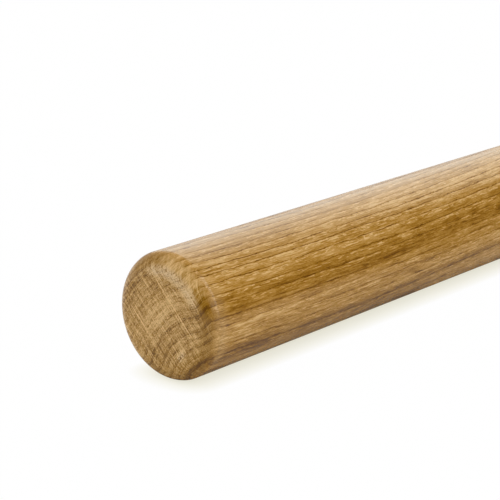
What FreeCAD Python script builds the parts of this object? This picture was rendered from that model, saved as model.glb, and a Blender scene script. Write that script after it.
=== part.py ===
"""Round oak stair handrail: one straight length of solid wood with both ends rounded over.

The rail lies on a level floor with its length along X.  The origin is on the floor, under the
middle of the rail, and +Z points up.  Lengths are millimetres and angles are degrees.
"""

import FreeCAD, Part
import enum
import math
import os
import sys

import Sketcher

NODE = "handrail"

# Driving dimensions: alias in the sheet, value, and what it measures on the rail.
DIMENSIONS = [
    ("rail_diameter", 42.0, "diameter of the round section, the size that brackets are made for"),
    ("rail_length", 1000.0, "overall length, end face to end face"),
    ("end_round_radius", 6.0, "radius of the rounded edge at each end"),
    ("arris_angle", 13.5, "angle of the slight arris where that rounding meets the skin"),
]


class Point(enum.IntEnum):
    """A sketch's own numbers for the points of a line or an arc."""

    START = 1
    END = 2
    CENTRE = 3


# A sketch's own numbers for its origin point and for its upright axis.
ORIGIN_POINT = (-1, Point.START)
UPRIGHT_AXIS = -2


def make_dimension_sheet(doc):
    """Put each driving dimension in its own row: name, value with an alias, meaning."""
    sheet = doc.addObject("Spreadsheet::Sheet", "Dimensions")
    for row, (alias, value, meaning) in enumerate(DIMENSIONS, start=1):
        sheet.set(f"A{row}", alias)
        sheet.set(f"B{row}", str(value))
        sheet.setAlias(f"B{row}", alias)
        sheet.set(f"C{row}", meaning)
    doc.recompute()
    return sheet


def origin_plane(body, role):
    """The body's own origin plane with that role, such as XZ_Plane."""
    return next(feature for feature in body.Origin.OriginFeatures if feature.Role == role)


def draw_half_section(body, sheet):
    """Half of the rail's lengthwise section, from its axis out to its skin.

    The outline runs along the axis, up one end face, over the rounded edge, along the skin and
    down the other end.  Each rounded edge leaves its end face smoothly and meets the skin at a
    slight arris, because the cutter is set a little less deep than its radius.
    """
    sketch = body.newObject("Sketcher::SketchObject", "HalfSection")
    sketch.AttachmentSupport = [(origin_plane(body, "XZ_Plane"), "")]
    sketch.MapMode = "FlatFace"

    # The outline is drawn at its true size, and the rules after it then hold it there.
    half_length = sheet.rail_length / 2
    skin = sheet.rail_diameter / 2
    radius = sheet.end_round_radius
    arris = math.radians(sheet.arris_angle)
    depth = radius * (1 - math.sin(arris))
    inset = radius * math.cos(arris)

    def point(along, out):
        return FreeCAD.Vector(along, out, 0)

    def line(start, end):
        return sketch.addGeometry(Part.LineSegment(start, end), False)

    def rounded_edge(on_face, on_skin, centre):
        half_way = ((on_face - centre) + (on_skin - centre)).normalize() * radius
        return sketch.addGeometry(Part.Arc(on_face, centre + half_way, on_skin), False)

    axis = line(point(-half_length, 0), point(half_length, 0))
    skin_line = line(point(-half_length + depth, skin), point(half_length - depth, skin))
    faces, rounds = [], []
    for side in (-1, 1):
        on_face = point(side * half_length, skin - inset)
        on_skin = point(side * (half_length - depth), skin)
        centre = point(side * (half_length - radius), skin - inset)
        faces.append(line(point(side * half_length, 0), on_face))
        rounds.append(rounded_edge(on_face, on_skin, centre))

    def hold(*rule):
        return sketch.addConstraint(Sketcher.Constraint(*rule))

    def end_near(arc, place):
        """Which end of the arc lies at that place: an arc always runs anticlockwise."""
        return min((Point.START, Point.END), key=lambda end: (sketch.getPoint(arc, end) - place).Length)

    for face, arc, line_end in zip(faces, rounds, (Point.START, Point.END)):
        face_end = end_near(arc, sketch.getPoint(face, Point.END))
        skin_end = end_near(arc, sketch.getPoint(skin_line, line_end))
        hold("Coincident", axis, line_end, face, Point.START)
        hold("Vertical", face)
        hold("Coincident", face, Point.END, arc, face_end)
        hold("Coincident", skin_line, line_end, arc, skin_end)
        hold("Horizontal", face, Point.END, arc, Point.CENTRE)
    hold("Horizontal", axis)
    hold("Symmetric", axis, Point.START, axis, Point.END, *ORIGIN_POINT)
    hold("Symmetric", skin_line, Point.START, skin_line, Point.END, UPRIGHT_AXIS)
    hold("Horizontal", faces[0], Point.END, faces[1], Point.END)

    size = {alias: f"{sheet.Name}.{alias}" for alias, _, _ in DIMENSIONS}
    depth_formula = f"{size['end_round_radius']} * (1 - sin({size['arris_angle']} * 1 deg))"
    inset_formula = f"{size['end_round_radius']} * cos({size['arris_angle']} * 1 deg)"
    axis_start = (axis, Point.START)
    skin_start = (skin_line, Point.START)
    face_rim = (faces[0], Point.END)
    driven = [
        ("Length", size["rail_length"], ("DistanceX", *axis_start, axis, Point.END, 2 * half_length)),
        ("SkinRadius", f"{size['rail_diameter']} / 2", ("DistanceY", *axis_start, *skin_start, skin)),
        ("RoundDepth", depth_formula, ("DistanceX", *face_rim, *skin_start, depth)),
        ("RoundInset", inset_formula, ("DistanceY", *face_rim, *skin_start, inset)),
    ]
    for name, formula, rule in driven:
        sketch.renameConstraint(hold(*rule), name)
        sketch.setExpression(f"Constraints.{name}", formula)
    return sketch


def make_handrail(doc, sheet):
    """The whole rail: its half section turned once round the axis, lifted to lie on the floor."""
    body = doc.addObject("PartDesign::Body", "Handrail")
    body.Label = NODE
    half_section = draw_half_section(body, sheet)
    doc.recompute()

    turned = body.newObject("PartDesign::Revolution", "TurnedRail")
    turned.Profile = half_section
    turned.ReferenceAxis = (half_section, ["H_Axis"])
    turned.Angle = 360.0
    body.Tip = turned

    body.setExpression("Placement.Base.z", f"{sheet.Name}.rail_diameter / 2")
    doc.recompute()
    return body


def check(doc, sub_parts):
    """Stop with a message if any object failed to compute or a sub-part isn't one good solid."""
    failed = [o.Name for o in doc.Objects if {"Invalid", "Error"} & set(o.State)]
    if failed:
        sys.exit(f"these objects did not compute: {failed}")
    for part in sub_parts:
        shape = part.Shape
        if shape.isNull() or not shape.isValid() or len(shape.Solids) != 1:
            sys.exit(f"{part.Label} is not one valid solid")
        box = shape.optimalBoundingBox()
        print(
            f"{part.Label}: {box.XLength:.2f} x {box.YLength:.2f} x {box.ZLength:.2f} mm, "
            f"lowest {box.ZMin:.3f}, volume {shape.Volume / 1000:.2f} cm3"
        )


def main():
    doc = FreeCAD.newDocument("StairHandrail")
    sheet = make_dimension_sheet(doc)
    sub_parts = [make_handrail(doc, sheet)]
    check(doc, sub_parts)
    os.makedirs("parts", exist_ok=True)
    for part in sub_parts:
        part.Shape.exportStep(f"parts/{part.Label}.step")


main()
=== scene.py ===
# %% [markdown]
# # A length of round oak stair handrail
#
# A stair handrail like this is one straight length of solid oak, moulded round, with its ends
# rounded over and a clear satin lacquer on the bare wood.  There is nothing else on it, so the
# whole lesson is about two things: a turned shape with crisp ends, and oak that is the same
# piece of wood on the skin, on the rounded edge and on the end grain.
#
# The CAD model is loaded first.  It gives the real size and place, and it is never moved.

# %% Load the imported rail
import math
from types import SimpleNamespace

import bpy
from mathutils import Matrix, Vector


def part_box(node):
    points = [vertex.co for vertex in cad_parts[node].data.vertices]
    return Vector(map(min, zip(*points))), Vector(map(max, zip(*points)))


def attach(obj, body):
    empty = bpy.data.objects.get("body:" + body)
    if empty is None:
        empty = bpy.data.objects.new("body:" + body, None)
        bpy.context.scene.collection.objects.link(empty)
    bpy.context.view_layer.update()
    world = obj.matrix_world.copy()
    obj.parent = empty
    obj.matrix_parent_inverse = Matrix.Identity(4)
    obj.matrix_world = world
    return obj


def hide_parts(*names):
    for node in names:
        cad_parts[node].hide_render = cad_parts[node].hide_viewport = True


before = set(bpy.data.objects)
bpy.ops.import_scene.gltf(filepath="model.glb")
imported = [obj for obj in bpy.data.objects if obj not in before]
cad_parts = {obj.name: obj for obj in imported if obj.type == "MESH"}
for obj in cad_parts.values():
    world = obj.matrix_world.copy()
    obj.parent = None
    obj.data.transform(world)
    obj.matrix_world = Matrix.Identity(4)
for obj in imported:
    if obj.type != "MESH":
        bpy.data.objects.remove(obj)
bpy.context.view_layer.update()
rail_low, rail_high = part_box("handrail")

MM = 0.001
LENGTH = rail_high.x - rail_low.x
DIAMETER = rail_high.z - rail_low.z
print(f"rail: {LENGTH / MM:.1f} mm long, {DIAMETER / MM:.1f} mm in diameter")

# %% [markdown]
# ## Node trees as Python expressions
#
# Shapes and finishes are both made of nodes here.  Written one node at a time they are hard to
# read, so a small class wraps a socket and lets Python's own operators add the Math nodes:
# `1 - mask` is one Subtract node.  Every other node comes from `Graph.node`.

# %% Sockets that can be added and multiplied
class Graph:
    """A node tree that grows by calls of node()."""

    def __init__(self, tree):
        self.tree = tree

    def node(self, kind, settings=None, inputs=None, output=0):
        """Add a node, apply its settings, then fill its sockets with numbers or Values."""
        node = self.tree.nodes.new(kind)
        for name, setting in (settings or {}).items():
            setattr(node, name, setting)
        for key, value in (inputs or {}).items():
            if isinstance(value, Value):
                self.tree.links.new(value.socket, node.inputs[key])
            else:
                node.inputs[key].default_value = value
        return Value(self, node.outputs[output]) if node.outputs else None

    def math(self, operation, *values):
        return self.node("ShaderNodeMath", {"operation": operation}, dict(enumerate(values)))

    def vector(self, x, y, z):
        return self.node("ShaderNodeCombineXYZ", None, {"X": x, "Y": y, "Z": z})

    def separate(self, vector):
        return self.node("ShaderNodeSeparateXYZ", None, {0: vector})


class Value:
    """One output socket of a graph."""

    def __init__(self, graph, socket):
        self.graph = graph
        self.socket = socket

    def out(self, name):
        """Another output of the same node."""
        return Value(self.graph, self.socket.node.outputs[name])

    def __add__(self, other):
        return self.graph.math("ADD", self, other)

    def __radd__(self, other):
        return self.graph.math("ADD", other, self)

    def __sub__(self, other):
        return self.graph.math("SUBTRACT", self, other)

    def __rsub__(self, other):
        return self.graph.math("SUBTRACT", other, self)

    def __mul__(self, other):
        return self.graph.math("MULTIPLY", self, other)

    def __rmul__(self, other):
        return self.graph.math("MULTIPLY", other, self)

    def __truediv__(self, other):
        return self.graph.math("DIVIDE", self, other)

    def __pow__(self, other):
        return self.graph.math("POWER", self, other)

    def __abs__(self):
        return self.graph.math("ABSOLUTE", self)


print("graph and value classes ready")

# %% Masks: how far a value has come
def share(value, start, end):
    """How far value has come from start to end, held between 0 and 1."""
    span = {"Value": value, "From Min": start, "From Max": end}
    return value.graph.node("ShaderNodeMapRange", {"clamp": True}, span)


def smooth_share(value, start, end):
    """The same with an eased start and end.  An end below the start makes it fall from 1 to 0."""
    span = {"Value": value, "From Min": start, "From Max": end}
    return value.graph.node("ShaderNodeMapRange", {"interpolation_type": "SMOOTHSTEP"}, span)


def hump(value, centre, half_width):
    """1 at the centre, eased to 0 at half_width on each side."""
    return smooth_share(abs(value - centre), half_width, 0.0)


print("masks ready: share, smooth_share, hump")

# %% [markdown]
# ## The turned rail
#
# A maker turns or moulds the rail round and then runs a rounding-over cutter round each end.
# The cutter is set a little shallow, so its curve meets the skin at a slight arris, which
# sandpaper eases by a hair.  In Blender this could be a curve spun round an axis.  Here it is a
# grid instead, wrapped by Geometry Nodes: one side of the grid follows the outline from the
# middle of one end to the middle of the other, the other side goes once round.  The grid's own
# UV map then comes along free, with the stations packed where the detail is.

# %% Sizes of the turned shape
# Lengths in metres, the angle in radians, and how many stations each stretch of the outline has.
RAIL_SIZES = {
    "Length": LENGTH,
    "Diameter": DIAMETER,
    "Round Radius": 6.0 * MM,
    "Arris Angle": math.radians(13.5),
    "Arris Ease": 2.5 * MM,
    "Sides": 160,
    "Face Stations": 24,
    "Round Stations": 14,
    "Ease Stations": 4,
    "Skin Stations": 172,
}
MAP_NAME = "OFBake"
MERGE_DISTANCE = 0.001 * MM
print("rail sizes:", ", ".join(RAIL_SIZES))

# %% The outline, station by station
def outline(g, start, station, stations):
    """Distance from the middle of the length and from the axis, at a station counted from the end."""
    length, diameter = start.out("Length"), start.out("Diameter")
    radius, arris, ease = start.out("Round Radius"), start.out("Arris Angle"), start.out("Arris Ease")
    face, rounding = start.out("Face Stations"), start.out("Round Stations")
    easing = start.out("Ease Stations")

    # Shares of the way over the flat face, the cutter's curve, the eased arris and the skin.
    on_face = share(station, 0, face)
    on_round = share(station, face, face + rounding)
    on_ease = share(station, face + rounding, face + rounding + easing)
    on_skin = share(station, face + rounding + easing, stations / 2)

    # The cutter's curve stops a little short of the arris, and a small arc bridges it to the skin.
    ease_from = math.pi / 2 - arris - ease * g.math("TANGENT", arris / 2) / radius
    cut = ease_from * on_round
    eased = ease_from + (math.pi / 2 - ease_from) * on_ease
    sine, cosine = g.math("SINE", ease_from), g.math("COSINE", ease_from)
    face_radius = diameter / 2 - radius * g.math("COSINE", arris)
    ease_radius = (diameter / 2 - face_radius - radius * sine) / (1 - sine)
    skin_length = length / 2 - radius * (1 - cosine) - ease_radius * cosine

    out_round = radius * g.math("SINE", cut)
    in_round = radius * (1 - g.math("COSINE", cut))
    out_ease = ease_radius * (g.math("SINE", eased) - sine)
    in_ease = ease_radius * (cosine - g.math("COSINE", eased))
    out = face_radius * on_face + out_round + out_ease
    along = length / 2 - in_round - in_ease - skin_length * on_skin
    return along, out


print("outline ready")

# %% The grid that is wrapped round the axis
def build_turned_rail(tree):
    """The rail as one wrapped grid."""
    g = Graph(tree)
    start = g.node("NodeGroupInput")
    one_end = start.out("Face Stations") + start.out("Round Stations") + start.out("Ease Stations")
    stations = 2 * one_end + start.out("Skin Stations")
    vertices = {"Vertices X": stations + 1, "Vertices Y": start.out("Sides") + 1}
    sheet = g.node("GeometryNodeMeshGrid", None, {"Size X": 1.0, "Size Y": 1.0, **vertices})
    mapped = g.node(
        "GeometryNodeStoreNamedAttribute",
        {"data_type": "FLOAT2", "domain": "CORNER"},
        {"Geometry": sheet, "Name": MAP_NAME, "Value": sheet.out("UV Map")},
    )
    spot = g.separate(g.node("GeometryNodeInputPosition"))
    station = (0.5 - abs(spot.out("X"))) * stations
    along, out = outline(g, start, station, stations)
    turn = spot.out("Y") * (2 * math.pi)
    across = out * g.math("SINE", turn)
    height = start.out("Diameter") / 2 + out * g.math("COSINE", turn)
    place = g.vector(g.math("SIGN", spot.out("X")) * along, across, height)
    wrapped = g.node("GeometryNodeSetPosition", None, {"Geometry": mapped, "Position": place})
    closing = {"Geometry": wrapped, "Distance": MERGE_DISTANCE}
    closed = g.node("GeometryNodeMergeByDistance", None, closing)
    smooth = g.node("GeometryNodeSetShadeSmooth", None, {"Geometry": closed})
    whole = g.node("GeometryNodeRealizeInstances", None, {"Geometry": smooth})
    coating = {"Geometry": whole, "Material": start.out("Finish")}
    finished = g.node("GeometryNodeSetMaterial", None, coating)
    g.node("NodeGroupOutput", None, {"Geometry": finished})


print("turning tree ready")

# %% Running the tree once
def new_geometry_tree(name, sizes):
    """An empty Geometry Nodes tree with a named input for each size and for the material."""
    tree = bpy.data.node_groups.new(name, "GeometryNodeTree")
    tree.interface.new_socket("Geometry", in_out="OUTPUT", socket_type="NodeSocketGeometry")
    for size in sizes:
        kind = "NodeSocketInt" if isinstance(sizes[size], int) else "NodeSocketFloat"
        tree.interface.new_socket(size, in_out="INPUT", socket_type=kind)
    tree.interface.new_socket("Finish", in_out="INPUT", socket_type="NodeSocketMaterial")
    return tree


def make_rail(finish):
    """Run the tree and keep its result as a plain mesh."""
    tree = new_geometry_tree("turned rail", RAIL_SIZES)
    build_turned_rail(tree)
    rail = bpy.data.objects.new("oak_rail", bpy.data.meshes.new("oak_rail"))
    bpy.context.scene.collection.objects.link(rail)
    turning = rail.modifiers.new("Turning", "NODES")
    turning.node_group = tree
    for item in tree.interface.items_tree:
        if item.in_out == "INPUT":
            turning[item.identifier] = finish if item.name == "Finish" else RAIL_SIZES[item.name]
    evaluated = rail.evaluated_get(bpy.context.evaluated_depsgraph_get())
    mesh = bpy.data.meshes.new_from_object(evaluated)
    rail.modifiers.clear()
    rail.data = mesh
    return rail


print("rail maker ready")

# %% [markdown]
# ## Oak, as the log grew
#
# The rail was sawn out of a log, and every line on it is a cut through that log.  A picture of
# oak wrapped round a cylinder shows its seam, and its ends never fit its skin.  So each point
# of the rail is asked where it lay in the log, in millimetres: along the log, round its pith
# and out from its pith.  The pith lies outside the rail, down on its front side, so the rings
# stand on edge along the upper front and lie flat along the lower front.  Trees aren't straight,
# so the pith bows a little along the rail.

# %% Where a point of the rail lay in the log
PITH_BELOW = math.radians(46.5)
PITH_DISTANCE = 66.0
END_PITH_DISTANCE = 34.0
BOW_DEPTH = 6.0
BOW_LENGTH = 110.0
BOW_START = 2.43
HALF_LENGTH = LENGTH / MM / 2
# Distances from the axis, and from the end of the rail, between which the skin's rings become the end's.
END_RADII = (20.0, 15.5)
END_DEPTHS = (8.0, 5.0)
FRONT_LEAN = 0.4


def log_place(g):
    """All that the finish asks about a point, in mm."""
    where = g.node("ShaderNodeTexCoord", None, None, output="Object")
    in_mm = g.node("ShaderNodeVectorMath", {"operation": "SCALE"}, {0: where, "Scale": 1 / MM})
    spot = g.separate(in_mm)
    along, y, z = spot.out("X"), spot.out("Y"), spot.out("Z") - DIAMETER / MM / 2
    outward = y * math.cos(PITH_BELOW) + z * math.sin(PITH_BELOW)
    sideways = z * math.cos(PITH_BELOW) - y * math.sin(PITH_BELOW)
    bow = BOW_DEPTH * g.math("SINE", along / BOW_LENGTH + BOW_START) + BOW_DEPTH
    from_pith = outward + PITH_DISTANCE - bow
    out = (from_pith * from_pith + sideways * sideways) ** 0.5 - PITH_DISTANCE
    around = g.math("ARCTAN2", sideways, from_pith) * PITH_DISTANCE
    radius = (y * y + z * z) ** 0.5

    # Across the end the rings curve more than they do along the rail, and the rays stay straight.
    on_end = smooth_share(radius, *END_RADII)
    on_end = on_end * smooth_share(abs(along), HALF_LENGTH - END_DEPTHS[0], HALF_LENGTH - END_DEPTHS[1])
    from_pith = outward + END_PITH_DISTANCE - bow
    end_out = (from_pith * from_pith + sideways * sideways) ** 0.5 - END_PITH_DISTANCE
    return SimpleNamespace(
        g=g,
        along=along,
        around=around + (sideways - around) * on_end,
        out=out + (end_out - out) * on_end,
        sideways=sideways,
        radius=radius,
        on_end=on_end,
        upper_front=(z - y * FRONT_LEAN) / radius,
    )


print(f"pith {PITH_DISTANCE:.0f} mm from the axis, {math.degrees(PITH_BELOW):.1f} degrees below the front")

# %% Which way the surface faces there
END_GRAIN_FACING = (0.30, 0.80)
FLAT_FACING = (0.90, 0.99)


def add_facing(log):
    """How much of the point is end grain, side grain and flat end face."""
    normal = log.g.node("ShaderNodeNewGeometry", None, None, "Normal")
    facing = log.g.separate(normal)
    log.facing_end = abs(facing.out("X"))
    log.facing_back = facing.out("Y")
    log.facing_up = facing.out("Z")
    log.end_grain = smooth_share(log.facing_end, *END_GRAIN_FACING)
    log.side_grain = 1 - log.end_grain
    log.flat = smooth_share(log.facing_end, *FLAT_FACING)


print("facing ready")

# %% [markdown]
# ## Noise, curves and colours
#
# Wood figure could be painted by hand or scanned as a picture.  Here it is noise whose cells are
# given in millimetres along, round and out, so that a fibre is long and thin in the direction in
# which the tree grew, on whichever side the saw has cut it.  What isn't random is drawn as a
# curve with a few points.

# %% Noise in millimetres, drawn curves, colour ramps
def cells_at(log, size):
    """The point's place, counted in cells of the given size along, round and out, in mm."""
    return log.g.vector(log.along / size[0], log.around / size[1], log.out / size[2])


def grain(log, size, detail=2.0, roughness=0.5):
    """Soft noise from -0.5 to 0.5."""
    settings = {"Vector": cells_at(log, size), "Scale": 1.0, "Detail": detail, "Roughness": roughness}
    return log.g.node("ShaderNodeTexNoise", None, settings) - 0.5


def curve(value, points, bend):
    """A curve from 0..1 to 0..1 through the given points."""
    drawn = value.graph.node("ShaderNodeFloatCurve", None, {"Value": value})
    mapping = drawn.socket.node.mapping
    line = mapping.curves[0]
    for place, level in points[1:-1]:
        line.points.new(place, level)
    line.points[0].location = points[0]
    line.points[len(points) - 1].location = points[-1]
    for point in line.points:
        point.handle_type = bend
    mapping.update()
    return drawn


def mix_colour(factor, low, high):
    inputs = {0: factor, 6: low, 7: high}
    return factor.graph.node("ShaderNodeMix", {"data_type": "RGBA"}, inputs, output=2)


def ramp(value, stops):
    """A colour for each value from 0 to 1, blended between the stops."""
    blended = value.graph.node("ShaderNodeValToRGB", None, {"Fac": value})
    elements = blended.socket.node.color_ramp.elements
    for place, colour in stops[1:-1]:
        elements.new(place).color = colour
    elements[0].color = stops[0][1]
    elements[len(stops) - 1].color = stops[-1][1]
    return blended


print("noise, curves and ramps ready")

# %% [markdown]
# ## Year rings
#
# Oak lays down one ring a year, and good and bad years are wide and narrow.  Evenly spaced rings
# from one wave look like printed paper, so the widths are a short list, and two drawn curves
# say which years came out dark and which start with a strong line.  A curve turns the place across
# the log into a count of years, and the fraction of that count is how far the year has come.

# %% The years across this rail
LOG_SPAN = 48.0

# Widths of the year rings across the rail, in mm, from the pith side outwards.
RING_WIDTHS = [
    2.0, 2.0, 2.4, 2.7, 2.6, 2.4, 4.2, 3.0, 3.6, 3.2,
    2.4, 2.5, 2.2, 1.65, 2.25, 1.8, 1.7, 1.7, 1.8, 1.9,
]

# Dark and pale years: place across the log from 0 to 1, and the tone of the wood there.
YEAR_TONES = [
    (0.00, 0.44), (0.05, 0.41), (0.08, 0.24), (0.11, 0.29), (0.15, 0.52), (0.18, 0.45), (0.22, 0.51),
    (0.25, 0.50), (0.28, 0.43), (0.33, 0.38), (0.37, 0.35), (0.42, 0.42), (0.46, 0.48), (0.50, 0.54),
    (0.54, 0.56), (0.60, 0.56), (0.67, 0.60), (0.75, 0.54), (0.85, 0.44), (1.00, 0.46),
]

# How dark each year's first row of vessels is, across the log in the same way.
LINE_STRENGTHS = [
    (0.00, 0.30), (0.10, 0.50), (0.18, 0.30), (0.25, 0.35), (0.30, 0.42), (0.42, 0.55), (0.50, 0.80),
    (0.60, 0.90), (0.68, 0.75), (0.75, 0.60), (1.00, 0.50),
]
print(f"{len(RING_WIDTHS)} years in {sum(RING_WIDTHS):.1f} mm")

# %% Counting the years
# Three ways in which a ring leaves its circle: cell size and amount, in mm.
SWAY_CELLS, SWAY = (45, 8, 8), 1.1
JITTER_CELLS, JITTER = (8, 1.4, 2), 0.9
CRACKLE_CELLS, CRACKLE = (1.3, 0.6, 0.6), 0.48
END_CALM = 0.6


def year_rings(log):
    """Phase within the year from 0 to 1, depth into it in mm, its tone and how dark it starts."""
    sway = grain(log, SWAY_CELLS) * SWAY
    jitter = grain(log, JITTER_CELLS, 3.0) * JITTER
    crackle = grain(log, CRACKLE_CELLS, 1.0) * CRACKLE
    place = (log.out + sway + (jitter + crackle) * (1 - log.on_end * END_CALM)) / LOG_SPAN + 0.5
    edges = [0.0]
    for width in RING_WIDTHS:
        edges.append(edges[-1] + width / LOG_SPAN)
    ring_count = len(RING_WIDTHS)
    points = [(edge, index / ring_count) for index, edge in enumerate(edges)]
    phase = log.g.math("FRACT", curve(place, points, "VECTOR") * ring_count)
    widest = max(RING_WIDTHS)
    middles = [(start + end) / 2 for start, end in zip(edges, edges[1:])]
    widths = [(middle, width / widest) for middle, width in zip(middles, RING_WIDTHS)]
    return SimpleNamespace(
        phase=phase,
        depth=phase * curve(place, widths, "VECTOR") * widest,
        tone=curve(place, YEAR_TONES, "AUTO"),
        line_strength=curve(place, LINE_STRENGTHS, "AUTO"),
    )


print("year rings ready")

# %% [markdown]
# ## Vessels and torn lips
#
# Each year of an oak starts with a row of wide vessels.  Sawn lengthwise they are thin dark lines,
# broken here and there, and the soft wood beside them tears into small pale lips that catch the
# light.  Real grooves would take millions of faces, so the lines are tone here, and a Bump node
# adds the shallow hollows later.  The glint on the lips is partly painted as well, as a paler tone.
# All of it hangs on the phase of the year, which keeps the lips beside their lines.

# %% Lines of vessels
BREAK_CELLS, BREAKS = (10, 4, 1.5), 1.6
# Depth into the year, in mm, over which the row of vessels begins and ends.
ROW_BEGINS = (0.20, 0.26)
ROW_ENDS = (0.54, 0.38)
VESSEL_CELLS = (3, 0.5, 0.5)
VESSEL_REACH = 0.10
LINE_REACH = 0.30
VESSEL_EDGE = (0.04, 0.14)
MARK_CELLS = (4, 0.42, 0.42)
DARK_MARK = (-0.10, -0.26)
PALE_MARK = (0.10, 0.26)


def vessel_lines(log, year):
    """The row of vessels, its broken line, the open vessels in it and the flecks between."""
    breaks = grain(log, BREAK_CELLS)
    row = smooth_share(year.depth, *ROW_BEGINS) * smooth_share(year.depth, *ROW_ENDS)
    line = row * (year.line_strength + breaks * BREAKS)
    points = {"Vector": cells_at(log, VESSEL_CELLS), "Scale": 1.0}
    vessel = log.g.node("ShaderNodeTexVoronoi", {"feature": "F1"}, points)
    reach = VESSEL_REACH + LINE_REACH * line
    core = smooth_share(vessel, reach + VESSEL_EDGE[0], reach - VESSEL_EDGE[1]) * log.side_grain
    mark = grain(log, MARK_CELLS, 1.0)
    fleck = smooth_share(mark, *DARK_MARK) - smooth_share(mark, *PALE_MARK)
    return SimpleNamespace(row=row, line=line, core=core, fleck=fleck)


print("vessel lines ready")

# %% Torn lips and the hollows under them
DASH_CELLS, DASH_SPAN = (6, 1.5, 0.9), (-0.10, 0.14)
TORN_CELLS, TORN_SPAN = (3, 0.6, 0.38), (0.07, 0.11)
CREAM_CELLS, CREAM_SPAN = (10, 1.6, 0.8), (0.02, 0.18)
# Phases of the year between which each mark comes or goes.
LIP_COMES, LIP_GOES = (0.80, 0.97), (0.10, 0.04)
TORN_COMES = (0.60, 0.66)
LATE_WOOD, NEW_YEAR = (0.25, 1.0), (0.06, 0.12)
HOLLOW_COMES, HOLLOW_GOES = (0.0, 0.13), (0.9, 0.18)
RISE_MIDDLE = 0.4


def torn_lips(log, phase):
    """Pale lips, torn dashes, creamy wood, the slow rise of tone over a year and the hollows."""
    dashes = smooth_share(grain(log, DASH_CELLS, 3.0), *DASH_SPAN)
    lip = smooth_share(phase, *LIP_COMES) + smooth_share(phase, *LIP_GOES)
    torn = smooth_share(grain(log, TORN_CELLS, 1.0), *TORN_SPAN) * smooth_share(phase, *TORN_COMES)
    hollow = smooth_share(phase, *HOLLOW_COMES) * smooth_share(phase, *HOLLOW_GOES)
    return SimpleNamespace(
        lip=lip * dashes * log.side_grain,
        torn=torn * log.side_grain,
        cream=smooth_share(grain(log, CREAM_CELLS, 3.0), *CREAM_SPAN),
        rise=smooth_share(phase, *LATE_WOOD) * smooth_share(phase, *NEW_YEAR) - RISE_MIDDLE,
        hollow=hollow * dashes * log.side_grain,
    )


print("torn lips ready")

# %% [markdown]
# ## Streaks
#
# A board is never one colour: pale and dark streaks run along it for a hand's breadth and fade.
# More noise would put them anywhere.  A short list places the ones that give this rail its
# character, and noise only frays their edges.

# %% The streaks of this rail
# Middle and half length along the rail, place and half width across the log, in mm, then how much
# paler or darker they are.
STREAKS = [
    (-478.0, 38.0, 2.1, 2.5, 0.10),
    (-478.0, 38.0, -2.6, 3.0, 0.09),
    (-480.0, 36.0, -7.8, 1.2, 0.08),
    (-478.0, 38.0, 3.9, 1.0, -0.12),
    (-460.0, 60.0, -9.8, 1.4, -0.19),
    (-478.0, 38.0, -6.1, 1.0, -0.10),
    (-465.0, 50.0, 6.6, 2.0, -0.09),
    (-475.0, 45.0, -20.2, 1.3, -0.18),
    (-450.0, 45.0, -18.2, 1.6, -0.13),
    (-440.0, 30.0, -1.4, 1.2, -0.10),
    (-440.0, 30.0, 6.0, 1.2, -0.12),
    (-385.0, 75.0, -1.6, 2.8, -0.12),
    (-325.0, 60.0, -0.9, 1.2, -0.08),
    (-395.0, 55.0, 3.4, 1.2, -0.18),
    (-320.0, 60.0, 3.4, 2.0, 0.09),
    (-355.0, 100.0, -21.4, 1.3, 0.16),
    (-330.0, 70.0, -24.0, 1.6, 0.14),
    (-330.0, 60.0, -13.6, 1.3, 0.07),
    (-320.0, 70.0, 9.9, 2.5, 0.07),
    (-480.0, 34.0, -14.4, 0.8, 0.12),
    (-480.0, 34.0, -17.2, 1.0, 0.10),
    (-355.0, 105.0, 6.4, 3.2, 0.12),
    (-360.0, 105.0, -7.4, 2.5, -0.16),
    (-350.0, 90.0, -17.1, 1.5, 0.10),
    (-406.0, 9.0, -8.4, 0.9, -0.20),
]
FRAY_CELLS, FRAY = (9, 5, 5), 1.4
FRONT_SPAN = (2, 8)


def streaks(log):
    """The listed streaks, with frayed edges, on the front of the rail."""
    across = log.out + grain(log, FRAY_CELLS) * FRAY
    total = 0.0
    for middle, half_length, place, half_width, strength in STREAKS:
        total = hump(log.along, middle, half_length) * hump(across, place, half_width) * strength + total
    return total * smooth_share(log.around, *FRONT_SPAN)


print(f"{len(STREAKS)} streaks")

# %% [markdown]
# ## Tone of the skin
#
# Along the skin all these figures lie over one another, from streaks as long as a hand down to
# grit finer than a millimetre.  They could be blended as layers of colour, which turns muddy.
# Here each one adds to or takes from a single number, the tone, and one colour ramp turns the
# sum into oak.

# %% Adding up the figures along the skin
STREAK_CELLS, STREAK_TONE = (18, 0.9, 0.9), 0.4
FIBRE_CELLS, FIBRE_TONE = (5, 0.28, 0.28), 1.0
GRIT_CELLS, GRIT_TONE = (0.9, 0.3, 0.3), 0.35
MOTTLE_CELLS, MOTTLE_TONE = (12, 3.5, 3.5), 0.4
FINE_ROUGHNESS = 0.6
FLECK_TONE = 0.18
LINE_TONE = 0.56
RISE_TONE = 0.06
# Lips and torn dashes are paler wood with a painted glint on top.
LIP_PALE_AND_GLINT, TORN_PALE_AND_GLINT, CREAM_TONE = 0.16, 0.40, 0.20
FIGURE_LIFT = 0.008
# Lips are weaker towards the pith; the figure is livelier below and on the upper front, calmer on top.
LIP_BASE, LIP_GAIN, LIP_SPAN = 0.6, 0.4, (-8, -3)
LIVELY_BELOW, BELOW_SPAN = 0.25, (-11, -14)
LIVELY_FRONT, FRONT_PLACE, FRONT_HALF_WIDTH = 0.12, 3.5, 6
CALM_TOP, TOP_SPAN = 0.32, (8, 14)


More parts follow.
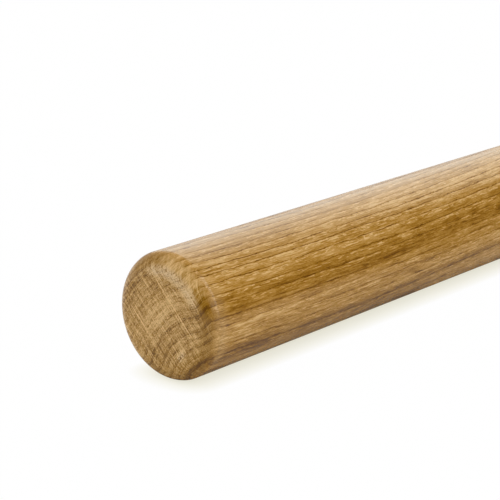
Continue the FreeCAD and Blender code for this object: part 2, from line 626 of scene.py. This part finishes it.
def skin_tone(log, vessels, lips, fibre, mottle):
    """How much paler or darker than its year a point of the skin is."""
    streak = grain(log, STREAK_CELLS, 2.0, FINE_ROUGHNESS)
    grit = grain(log, GRIT_CELLS, 1.0)
    figure = streak * STREAK_TONE + fibre * FIBRE_TONE + mottle * MOTTLE_TONE
    figure = figure + vessels.fleck * FLECK_TONE - vessels.line * LINE_TONE
    figure = figure + lips.rise * RISE_TONE + grit * GRIT_TONE + FIGURE_LIFT
    # Pale lips, torn dashes and cream: the lips and dashes also carry a painted glint.
    pale_and_glint = lips.lip * LIP_PALE_AND_GLINT + lips.torn * TORN_PALE_AND_GLINT + lips.cream * CREAM_TONE
    figure = figure + pale_and_glint * (LIP_BASE + smooth_share(log.out, *LIP_SPAN) * LIP_GAIN)
    lively = 1 + smooth_share(log.out, *BELOW_SPAN) * LIVELY_BELOW
    lively = lively + hump(log.out, FRONT_PLACE, FRONT_HALF_WIDTH) * LIVELY_FRONT
    lively = lively - smooth_share(log.out, *TOP_SPAN) * CALM_TOP
    return figure * lively + streaks(log)


print("skin tone ready")

# %% [markdown]
# ## End grain
#
# Cut across, the same vessels are rows of open dots along the rings, and fine pale rays run out
# from the pith across them, so that the end looks woven.  A handful of broad rays are long enough
# to be seen one by one, and are listed.  Painted highlights lie on top: a pale band on the upper
# front of the rim, where the flat end turns into the rounding, and a pale spot low on the face.  A
# patch on the front of the rounding is a little darker.  A picture of an end would be simpler, and
# would stop dead at the edge.  Noise in the log's own directions runs on over the rounding.

# %% Weave and rays of the end
WEFT_CELLS, WEFT = (9, 0.28, 6), 0.95
WARP_CELLS, WARP = (9, 3.5, 0.28), 0.9
SPECK_CELLS, SPECK = (9, 0.34, 0.34), 1.3
PATCHY = 0.4
ROUND_WEAVE, FLAT_WEAVE = 0.6, 0.4
FINE_RAY, FINE_RAY_SPAN = 0.4, (0.08, 0.20)
BROAD_RAY, RAY_GRIT = 1.6, 1.5
RAY_HALF_WIDTH = 0.42
RAY_FADE = 3

# Broad rays on the ends: offset sideways, inner and outer reach in mm, strength.
END_RAYS = [(7.2, -12.0, 15.0, 1.0), (2.3, 8.5, 16.0, 0.7), (-8.4, -7.0, 11.0, 0.7)]


def broad_rays(log):
    total = 0.0
    for offset, inner, outer, strength in END_RAYS:
        begins = smooth_share(log.out, inner, inner + RAY_FADE)
        reach = begins * smooth_share(log.out, outer, outer - RAY_FADE)
        total = hump(log.sideways, offset, RAY_HALF_WIDTH) * reach * strength + total
    return total


def end_weave(log, mottle):
    """Rays and rows of vessels crossing on the end grain."""
    weft = grain(log, WEFT_CELLS, 1.0)
    warp = grain(log, WARP_CELLS, 1.0)
    speck = grain(log, SPECK_CELLS, 1.0)
    fine = smooth_share(weft, *FINE_RAY_SPAN) * FINE_RAY
    rays = log.g.math("MAXIMUM", fine, broad_rays(log) * (BROAD_RAY + speck * RAY_GRIT))
    cloth = (weft * WEFT + warp * WARP + speck * SPECK) * (1.0 + mottle * PATCHY)
    cloth = cloth * (ROUND_WEAVE + log.flat * FLAT_WEAVE) * log.end_grain
    return SimpleNamespace(weft=weft, speck=speck, rays=rays, cloth=cloth)


print(f"{len(END_RAYS)} broad rays on each end")

# %% Painted highlights and a darker patch on the end
# The rim's painted highlight: radius and half width in mm, and how far up the front it reaches.
RIM_RADIUS, RIM_HALF_WIDTH, RIM_SPAN = 15.6, 2.8, (0.68, 0.98)
# A painted highlight low on the face: place round and out in the log and half sizes in mm, and how the
# specks break it.
LOW_HIGHLIGHT_AROUND, LOW_HIGHLIGHT_HALF_LENGTH = -1.1, 3.4
LOW_HIGHLIGHT_OUT, LOW_HIGHLIGHT_HALF_WIDTH, LOW_HIGHLIGHT_SPAN = -14.0, 1.9, (-0.08, 0.10)
# A darker patch on the front of the rounding: place out in the log and half width in mm, where round the
# log it comes, and how the weave breaks it.
FRONT_PATCH_OUT, FRONT_PATCH_HALF_WIDTH = -4.5, 7.5
FRONT_PATCH_AROUND, FRONT_PATCH_SPAN = (12.5, 17.0), (-0.30, 0.15)


def end_marks_and_sheen(log, weave):
    """The painted highlight on the rim, the painted highlight low on the face and the darker front patch.
    """
    low_highlight = hump(log.around, LOW_HIGHLIGHT_AROUND, LOW_HIGHLIGHT_HALF_LENGTH) * hump(log.out, LOW_HIGHLIGHT_OUT, LOW_HIGHLIGHT_HALF_WIDTH)
    dark_front_patch = hump(log.out, FRONT_PATCH_OUT, FRONT_PATCH_HALF_WIDTH) * smooth_share(log.around, *FRONT_PATCH_AROUND)
    return SimpleNamespace(
        rim_highlight=hump(log.radius, RIM_RADIUS, RIM_HALF_WIDTH) * smooth_share(log.upper_front, *RIM_SPAN),
        low_highlight=low_highlight * smooth_share(weave.speck, *LOW_HIGHLIGHT_SPAN),
        dark_front_patch=dark_front_patch * smooth_share(weave.weft + weave.speck, *FRONT_PATCH_SPAN),
    )


print("wear ready: rim, scuff, scorch")

# %% Adding up the figures across the end
# The third of these lifts the painted highlight low on the face, and the last darkens the patch on the
# front of the rounding.
CLOTH_TONE, RAY_TONE, LOW_HIGHLIGHT_TONE, ROW_TONE, FRONT_PATCH_TONE = 1.06, 0.35, 0.60, 0.13, 0.22
# The rim's painted highlight, and how much the specks break it.
RIM_HIGHLIGHT_TONE, RIM_HIGHLIGHT_GRIT = 0.37, 0.9
# The soft early wood of each year, by its depth in mm, is darker, most of all on the pith side.
EARLY_COMES, EARLY_GOES = (0.0, 0.3), (1.6, 0.9)
EARLY_TONE, EARLY_EASE, EARLY_SPAN = 0.17, 0.08, (-3, 4)
# The flat face: a pale heart, darker towards the bark and paler towards the pith.
HEART_TONE, HEART_OUT, HEART_HALF_WIDTH, HEART_HALF_LENGTH = 0.22, -1, 11, 15
BARK_SIDE_TONE, BARK_SIDE_SPAN = 0.10, (2, 9)
PITH_SIDE_TONE, PITH_SIDE_SPAN = 0.08, (-5, -10)
FLAT_TONE = -0.075
# The rounding: a painted highlight on its crown, and painted shade low on its front.
CROWN_PAINTED_HIGHLIGHT, CROWN_SPAN, CROWN_FACING = 0.19, (0.93, 1.06), (0.35, 0.75)
LOW_FRONT_PAINTED_SHADE, LOW_FRONT_FACING = 0.16, (-0.30, -0.60)
LOW_FRONT_UP, LOW_FRONT_HALF_WIDTH = -0.06, 0.20
ROUNDING_TONE = -0.085
END_LIFT = 0.06


def end_tone(log, year, vessels, weave, marks_and_sheen):
    """How much paler or darker than its year a point of the end is."""
    early = smooth_share(year.depth, *EARLY_COMES) * smooth_share(year.depth, *EARLY_GOES)
    early = early * (EARLY_TONE - smooth_share(log.out, *EARLY_SPAN) * EARLY_EASE)
    heart = hump(log.out, HEART_OUT, HEART_HALF_WIDTH) * hump(log.around, 0, HEART_HALF_LENGTH) * HEART_TONE
    heart = heart - smooth_share(log.out, *BARK_SIDE_SPAN) * BARK_SIDE_TONE
    heart = heart + smooth_share(log.out, *PITH_SIDE_SPAN) * PITH_SIDE_TONE
    # Painted shade low on the front of the rounding, and a painted highlight on its crown.
    painted_low_shade = smooth_share(log.facing_back, *LOW_FRONT_FACING)
    painted_low_shade = painted_low_shade * hump(log.facing_up, LOW_FRONT_UP, LOW_FRONT_HALF_WIDTH)
    painted_crown_highlight = smooth_share(log.upper_front, *CROWN_SPAN) * smooth_share(log.facing_end, *CROWN_FACING)
    rounding = painted_crown_highlight * CROWN_PAINTED_HIGHLIGHT - painted_low_shade * LOW_FRONT_PAINTED_SHADE + ROUNDING_TONE

    # The rim and the low spot are lifted by painted highlights, and the front patch is darkened.
    figure = weave.cloth * CLOTH_TONE + weave.rays * RAY_TONE + marks_and_sheen.low_highlight * LOW_HIGHLIGHT_TONE
    figure = figure - vessels.row * ROW_TONE - early - marks_and_sheen.dark_front_patch * FRONT_PATCH_TONE
    figure = figure + marks_and_sheen.rim_highlight * (RIM_HIGHLIGHT_TONE + weave.speck * RIM_HIGHLIGHT_GRIT)
    return figure + log.flat * (heart + FLAT_TONE) + (1 - log.flat) * rounding + END_LIFT


print("end tone ready")

# %% [markdown]
# ## Colour and lacquer
#
# The lacquer makes oak deep and warm: the dark tones lose most of their blue and the pale ones
# little.  End grain drinks more of it and is a shade greyer, so it has a ramp of its own.  The
# lacquer itself is a satin film.  It could be a second surface just above the wood; the coat of
# the Principled shader does the same without a second mesh.  The film is thinner over open vessels,
# so its weight follows the lines, and the wood below it has no shine of its own.

# %% Colours of lacquered oak
# From the darkest tone to the palest: along the grain and across it.
SKIN_COLOURS = [
    (0.00, (0.13, 0.045, 0.002, 1)),
    (0.25, (0.285, 0.124, 0.006, 1)),
    (0.50, (0.44, 0.224, 0.036, 1)),
    (0.75, (0.595, 0.340, 0.105, 1)),
    (1.00, (0.75, 0.490, 0.210, 1)),
]
END_COLOURS = [
    (0.00, (0.13, 0.050, 0.002, 1)),
    (0.25, (0.285, 0.135, 0.008, 1)),
    (0.50, (0.44, 0.248, 0.066, 1)),
    (0.75, (0.595, 0.368, 0.138, 1)),
    (1.00, (0.75, 0.490, 0.220, 1)),
]
OPEN_VESSEL, VESSEL_COVER = (0.16, 0.066, 0.003, 1), 0.6
# Colour of the painted highlights on the rim, the low spot and the front arris.
PAINTED_SHEEN_COLOUR = (0.60, 0.50, 0.38, 1)
DRIFT_CELLS, END_DRIFT, SKIN_DRIFT = (70, 7, 2.4), 0.12, 0.34
# The painted highlight on the front arris: its half width along the rail and the radii over which it shows,
# in mm.
ARRIS_HALF_WIDTH, ARRIS_FACING, ARRIS_RADII, ARRIS_SHEEN = 5.0, (-0.70, -0.92), (19.4, 20.4), 0.09
# How strongly the low spot and the rim take the painted highlight colour.
LOW_HIGHLIGHT_PALE, RIM_SHEEN, RIM_SHEEN_GRIT = 0.34, 0.25, 0.7


def oak_colour(log, year, vessels, weave, marks_and_sheen, skin, end):
    """The tone as a colour, with open vessels and painted highlights on top."""
    drift = grain(log, DRIFT_CELLS, 1.0) * (END_DRIFT + log.side_grain * SKIN_DRIFT)
    tone = year.tone + skin * log.side_grain + end * log.end_grain + drift
    wood = mix_colour(log.end_grain, ramp(tone, SKIN_COLOURS), ramp(tone, END_COLOURS))
    wood = mix_colour(vessels.core * VESSEL_COVER, wood, OPEN_VESSEL)
    # The front arris, the rim and the low spot get painted highlights.
    arris = hump(abs(log.along), HALF_LENGTH - ARRIS_HALF_WIDTH, ARRIS_HALF_WIDTH)
    arris = arris * smooth_share(log.facing_back, *ARRIS_FACING) * smooth_share(log.radius, *ARRIS_RADII)
    painted_end_sheen = marks_and_sheen.low_highlight * LOW_HIGHLIGHT_PALE
    painted_end_sheen = painted_end_sheen + marks_and_sheen.rim_highlight * (RIM_SHEEN + (weave.weft + weave.speck) * RIM_SHEEN_GRIT)
    painted_sheen = arris * ARRIS_SHEEN + painted_end_sheen * log.end_grain
    return mix_colour(log.g.node("ShaderNodeClamp", None, {"Value": painted_sheen}), wood, PAINTED_SHEEN_COLOUR)


print("oak colours ready")

# %% Relief and film of the lacquered surface
# Heights in mm.  The skin next to the ends is sanded smooth, over these distances from the end.
FIBRE_HEIGHT, HOLLOW_DEPTH, CLOTH_HEIGHT = 0.028, 0.07, 0.10
SANDED = (5, 10)
FILM, FILM_FIBRE, FILM_LINE, FILM_LIP, FILM_END = 0.95, 0.7, 0.45, 0.2, 0.8
WOOD_ROUGHNESS, FILM_ROUGHNESS, FILM_IOR = 0.6, 0.24, 1.45


def lacquered(log, colour, fibre, vessels, lips, weave):
    """The Principled shader with its bump and its coat."""
    unsanded = smooth_share(abs(log.along), HALF_LENGTH - SANDED[0], HALF_LENGTH - SANDED[1])
    ridges = fibre * FIBRE_HEIGHT * log.side_grain - lips.hollow * HOLLOW_DEPTH
    height = ridges * unsanded + weave.cloth * CLOTH_HEIGHT
    relief = log.g.node("ShaderNodeBump", None, {"Strength": 1.0, "Distance": MM, "Height": height})
    film = FILM + fibre * FILM_FIBRE * log.side_grain - vessels.line * FILM_LINE - lips.lip * FILM_LIP
    film = film + (weave.weft + weave.speck) * log.end_grain * FILM_END
    surface = {
        "Base Color": colour,
        "Normal": relief,
        "Roughness": WOOD_ROUGHNESS,
        "Specular IOR Level": 0.0,
        "Coat Weight": log.g.node("ShaderNodeClamp", None, {"Value": film}),
        "Coat Roughness": FILM_ROUGHNESS,
        "Coat IOR": FILM_IOR,
    }
    return log.g.node("ShaderNodeBsdfPrincipled", None, surface)


print("lacquer ready")

# %% The oak finish and the rail that wears it
def new_finish(name):
    """An empty material and its graph."""
    material = bpy.data.materials.new(name)
    material.use_nodes = True
    material.node_tree.nodes.clear()
    return material, Graph(material.node_tree)


def oak_finish():
    material, g = new_finish("oak_clear_lacquer")
    log = log_place(g)
    add_facing(log)
    year = year_rings(log)
    vessels = vessel_lines(log, year)
    lips = torn_lips(log, year.phase)
    fibre = grain(log, FIBRE_CELLS, 2.0, FINE_ROUGHNESS)
    mottle = grain(log, MOTTLE_CELLS)
    weave = end_weave(log, mottle)
    marks_and_sheen = end_marks_and_sheen(log, weave)
    skin = skin_tone(log, vessels, lips, fibre, mottle)
    end = end_tone(log, year, vessels, weave, marks_and_sheen)
    colour = oak_colour(log, year, vessels, weave, marks_and_sheen, skin, end)
    surface = lacquered(log, colour, fibre, vessels, lips, weave)
    g.node("ShaderNodeOutputMaterial", None, {"Surface": surface})
    return material


oak = oak_finish()
rail = make_rail(oak)
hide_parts("handrail")
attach(rail, "root")
print(f"oak finish: {len(oak.node_tree.nodes)} nodes")
print(f"rail mesh: {len(rail.data.vertices)} vertices, {len(rail.data.polygons)} faces")

# %% [markdown]
# ## White floor
#
# The rail lies on white studio paper that runs into a white background, with only a thin, warm
# shadow along its foot.  Paper lit until it turns white would take so much light that the oak
# washes out.  So the camera sees plain white wherever the floor lies open, and the lit paper with
# its shadow only close to the rail.  An Ambient Occlusion node measures how close that is, and the
# white fades and warms by it: that part of the thin shadow is painted shade.  The lacquer mirrors
# the floor as well: a dark card lies in front of the rail, where only the mirror sees it, and keeps
# the lower side of the rail deep in colour.

# %% Paper, plain white and the dark card
FLOOR_SIZE = 24.0
SHADOW_REACH = 0.0065
MIRROR_REACH = 0.12
AO_SAMPLES = 8
UNDER_RAIL_WHITE, OPEN_WHITE, SHADOW_FALL = 0.74, 0.255, 0.8
MIRROR_FALL = 7.0
CARD_LEFT = (-0.39, -0.31)
CARD_BACK = (-0.02, -0.06)
PAPER = (0.88, 0.87, 0.77, 1)
DARK_CARD = (0.10, 0.09, 0.08, 1)
# Colour of the white where the rail shuts the floor in: a painted warm tint of the shadow.
SHADOW_TINT_WHITE = (0.96, 0.94, 0.80, 1)
WHITE = (1, 1, 1, 1)
BLACK = (0, 0, 0, 1)


def openness(g, reach):
    """1 where the floor lies open, falling to 0 where something stands within reach."""
    settings = {"samples": AO_SAMPLES}
    return g.node("ShaderNodeAmbientOcclusion", settings, {"Distance": reach}, output="AO")


def white_floor():
    """Matt paper, mixed with plain white where it lies open."""
    material, g = new_finish("white_floor")
    ray = g.node("ShaderNodeLightPath", None, None, output="Is Camera Ray")
    mirrored = g.math("MINIMUM", ray.out("Is Glossy Ray") + ray.out("Is Transmission Ray"), 1.0)
    near = openness(g, SHADOW_REACH)
    wide = openness(g, MIRROR_REACH)
    # Less plain white where the floor is shut in: painted shade, tight for the camera, wider in the mirror.
    plain = ray * (UNDER_RAIL_WHITE + OPEN_WHITE * near ** SHADOW_FALL) + mirrored * wide ** MIRROR_FALL
    spot = g.separate(g.node("ShaderNodeNewGeometry", None, None, "Position"))
    card = smooth_share(spot.out("X"), *CARD_LEFT) * smooth_share(spot.out("Y"), *CARD_BACK) * mirrored
    matt = {"Roughness": 1.0, "Specular IOR Level": 0.0}
    paper = {"Base Color": mix_colour(card, PAPER, DARK_CARD), **matt}
    glow = {"Emission Color": mix_colour(near, SHADOW_TINT_WHITE, WHITE), "Emission Strength": 1.0}
    lit = g.node("ShaderNodeBsdfPrincipled", None, paper)
    white = g.node("ShaderNodeBsdfPrincipled", None, {"Base Color": BLACK, **matt, **glow})
    shown = g.node("ShaderNodeMixShader", None, {0: plain * (1 - card), 1: lit, 2: white})
    g.node("ShaderNodeOutputMaterial", None, {"Surface": shown})
    return material


half = FLOOR_SIZE / 2
floor_mesh = bpy.data.meshes.new("floor")
corners = [(-half, -half, 0), (half, -half, 0), (half, half, 0), (-half, half, 0)]
floor_mesh.from_pydata(corners, [], [(0, 1, 2, 3)])
floor_mesh.materials.append(white_floor())
floor = bpy.data.objects.new("floor", floor_mesh)
bpy.context.scene.collection.objects.link(floor)
print(f"floor: {FLOOR_SIZE:.0f} m square")

# %% [markdown]
# ## Studio light
#
# A satin film shows the room that it stands in, so the room is part of the finish.  Behind the
# rail the room is light and in front it is dim, which models the round: a pale sheen on top that
# falls off to deep oak at the front.  A picture of a real studio would light it too, but nobody
# could move a lamp in it.  A world of two greys and a few soft lamps can be tuned one by one.
# The lamps are far away, so that they light the whole length evenly, and the sizes below are
# shares of that distance.

# %% The room
BACK_ROOM = 0.55
FRONT_ROOM = 0.06
WALL_SPAN = (-0.1, 0.35)


def studio_world():
    """A light room behind the rail, a dim one in front, and white wherever the camera looks past."""
    world = bpy.data.worlds.new("studio")
    world.use_nodes = True
    world.node_tree.nodes.clear()
    g = Graph(world.node_tree)
    ray = g.node("ShaderNodeLightPath", None, None, output="Is Camera Ray")
    seen = g.math("MINIMUM", ray + ray.out("Is Transmission Ray"), 1.0)
    way = g.separate(g.node("ShaderNodeTexCoord", None, None, output="Generated"))
    wall = smooth_share(way.out("Y"), *WALL_SPAN)
    dim, light, white = (
        g.node("ShaderNodeBackground", None, {"Color": WHITE, "Strength": strength})
        for strength in (FRONT_ROOM, BACK_ROOM, 1.0)
    )
    room = g.node("ShaderNodeMixShader", None, {0: wall, 1: dim, 2: light})
    shown = g.node("ShaderNodeMixShader", None, {0: seen, 1: room, 2: white})
    g.node("ShaderNodeOutputWorld", None, {"Surface": shown})
    return world


bpy.context.scene.world = studio_world()
print(f"room: {BACK_ROOM} behind the rail, {FRONT_ROOM} in front")

# %% The lamps
LAMP_DISTANCE = 6.0
LIT_SPOT = Vector((rail_low.x + 0.05, 0.0, DIAMETER / 2))
PALE_YELLOW = (0.97, 0.98, 0.89)


def softbox(name, bearing, rise, width, height, radiance, mirrored=True, colour=(1, 1, 1)):
    """A soft lamp of even brightness.  Bearing is clockwise from +Y, rise is above the floor, both in
    degrees.  A lamp that isn't mirrored lights the wood and leaves no patch in the film."""
    data = bpy.data.lights.new(name, "AREA")
    data.shape = "RECTANGLE"
    data.color = colour
    data.size = width * LAMP_DISTANCE
    data.size_y = height * LAMP_DISTANCE
    data.energy = radiance * math.pi * data.size * data.size_y
    lamp = bpy.data.objects.new(name, data)
    bpy.context.scene.collection.objects.link(lamp)
    bearing, rise = math.radians(bearing), math.radians(rise)
    level = math.cos(rise)
    way = Vector((math.sin(bearing) * level, math.cos(bearing) * level, math.sin(rise)))
    lamp.location = LIT_SPOT + way * LAMP_DISTANCE
    lamp.rotation_euler = (-way).to_track_quat("-Z", "Y").to_euler()
    lamp.visible_camera = False
    lamp.visible_glossy = mirrored
    print(f"{name}: {data.size:.2f} m by {data.size_y:.2f} m, {data.energy:.0f} W")


softbox("overhead", 200, 66, 1.06, 0.94, 1.5, mirrored=False)
softbox("painted_low_shade", 194, 20, 0.375, 0.375, 1.5)
softbox("right_front", 165, 36, 0.325, 1.29, 2.8)
softbox("back_right", 61, 25.5, 1.25, 0.70, 1.47, colour=PALE_YELLOW)
softbox("left_back", -60, 9, 0.81, 0.285, 2.9, mirrored=False)
softbox("left_sheen", -60, 9, 0.81, 0.285, 1.5)

# %% [markdown]
# ## Camera
#
# The picture is a close look along the rail: one end near and large, the other past the edge of
# the frame.  The camera could be nudged by eye until that looks right.  It was worked out instead,
# from the outline of the rail and the oval of its end, which together leave only one place for it.
# A long lens keeps the two sides of the rail almost parallel.  Standard is the plain view
# transform, in which a colour shows as it was written.

# %% The place of the camera
CAMERA_PLACE = (-0.8511, -0.3481, 0.1915)
CAMERA_YAW = math.radians(48.448)
CAMERA_PITCH = math.radians(16.684)
LENS_MM = 120.47
SENSOR_MM = 36.0

camera_data = bpy.data.cameras.new("photo_view")
camera_data.lens = LENS_MM
camera_data.sensor_width = SENSOR_MM
camera = bpy.data.objects.new("photo_view", camera_data)
bpy.context.scene.collection.objects.link(camera)
camera.location = CAMERA_PLACE
camera.rotation_euler = (math.pi / 2 - CAMERA_PITCH, 0.0, -CAMERA_YAW)
bpy.context.scene.camera = camera
bpy.context.scene.view_settings.view_transform = "Standard"
near_end = Vector((rail_low.x, 0.0, DIAMETER / 2))
print(f"camera: {(camera.location - near_end).length:.3f} m from the near end, {LENS_MM} mm lens")
